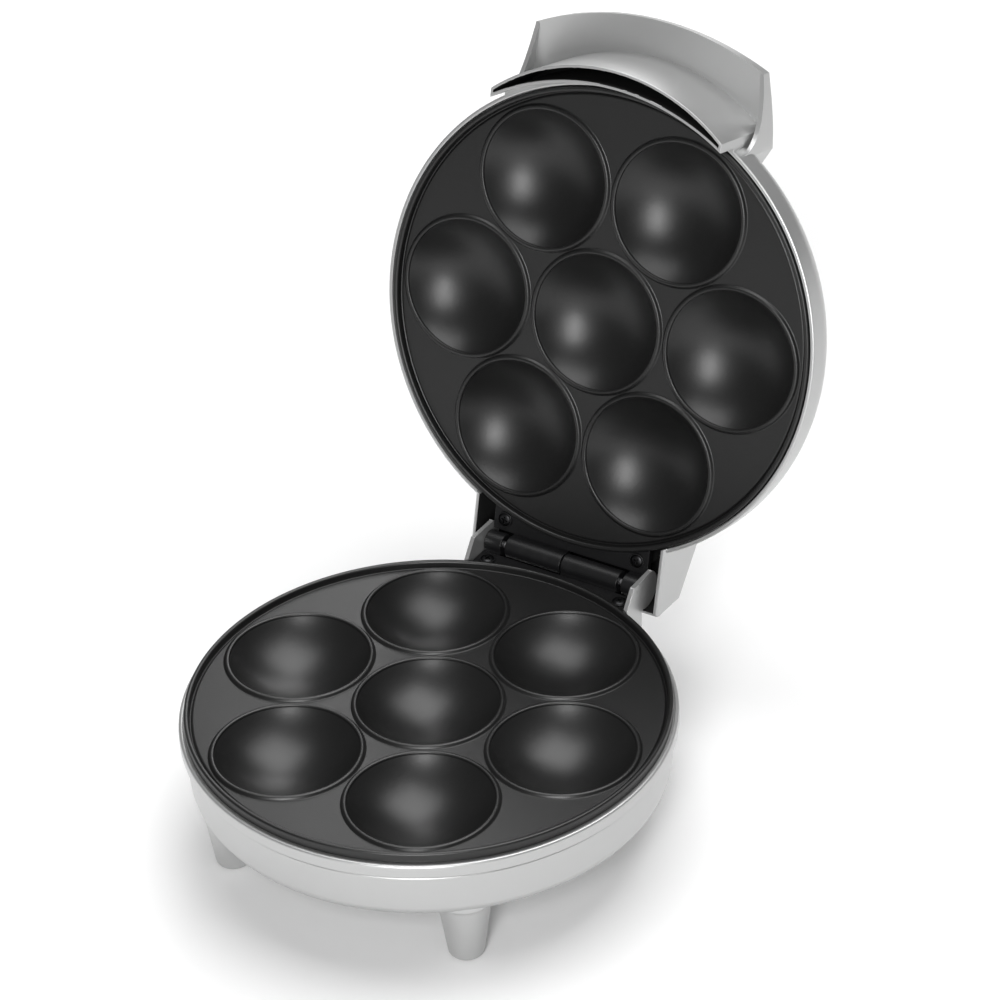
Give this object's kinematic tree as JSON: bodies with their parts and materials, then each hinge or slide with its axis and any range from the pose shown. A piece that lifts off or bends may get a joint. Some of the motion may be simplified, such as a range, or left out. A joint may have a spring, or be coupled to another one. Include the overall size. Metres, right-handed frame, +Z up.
{
  "type": "donut maker",
  "caption": "Round electric donut maker, open: hinged lid and base with matching cup plates, hood handle on the lid, tapered feet.",
  "frame": {"origin": "under the middle of the open object's box, on the surface it stands on", "axes": "+Z up, +X along the hinge to the right seen from the front, +Y from the front to the hinge"},
  "size_m": [0.1954, 0.2798, 0.2734],
  "materials": {
    "silver_shell": "satin silver, moulded",
    "non_stick_coating": "cast plate with a black non-stick coating",
    "black_moulding": "satin black moulding",
    "steel": "plain bright steel",
    "dark_steel": "blackened steel",
    "aluminised_sheet": "mill finish sheet",
    "rubber": "matt black rubber",
    "white_ceramic": "unglazed insulator",
    "red_lens": "clear red lens",
    "green_lens": "clear green lens",
    "glass_fibre_sleeve": "woven heat-proof sleeve"
  },
  "bodies": {
    "base": {"base_bracket_screw_left": "dark_steel", "base_bracket_screw_right": "dark_steel", "base_heat_shield": "aluminised_sheet", "base_heating_element": "dark_steel", "base_hinge_bracket": "black_moulding", "base_housing": "silver_shell", "base_plate": "non_stick_coating", "base_plate_screw_1": "dark_steel", "base_plate_screw_2": "dark_steel", "base_plate_screw_3": "dark_steel", "base_plate_screw_4": "dark_steel", "base_shield_screw_1": "dark_steel", "base_shield_screw_2": "dark_steel", "base_shield_screw_3": "dark_steel", "cord_gland": "rubber", "foot_pad_front_left": "rubber", "foot_pad_front_right": "rubber", "foot_pad_rear_left": "rubber", "foot_pad_rear_right": "rubber", "hinge_pin": "steel", "lead_terminal_to_element": "glass_fibre_sleeve", "lead_terminal_to_thermostat": "glass_fibre_sleeve", "lead_thermostat_to_element": "glass_fibre_sleeve", "terminal_block": "white_ceramic", "thermal_fuse": "white_ceramic", "thermostat": "steel"},
    "lid": {"lamp_board": "white_ceramic", "lid_bracket_screw_left": "dark_steel", "lid_bracket_screw_right": "dark_steel", "lid_heat_shield": "aluminised_sheet", "lid_heating_element": "dark_steel", "lid_hinge_bracket": "black_moulding", "lid_housing": "silver_shell", "lid_plate": "non_stick_coating", "lid_shield_screw_1": "dark_steel", "lid_shield_screw_2": "dark_steel", "lid_shield_screw_3": "dark_steel", "power_lamp_lens": "red_lens", "ready_lamp_lens": "green_lens"}
  },
  "joints": [
    {"name": "lid_hinge", "type": "hinge", "parent": "base", "child": "lid", "pos_m": [0, 0.0623, 0.0591], "axis": [1, 0, 0], "range_deg": [0, 104.2]}
  ]
}
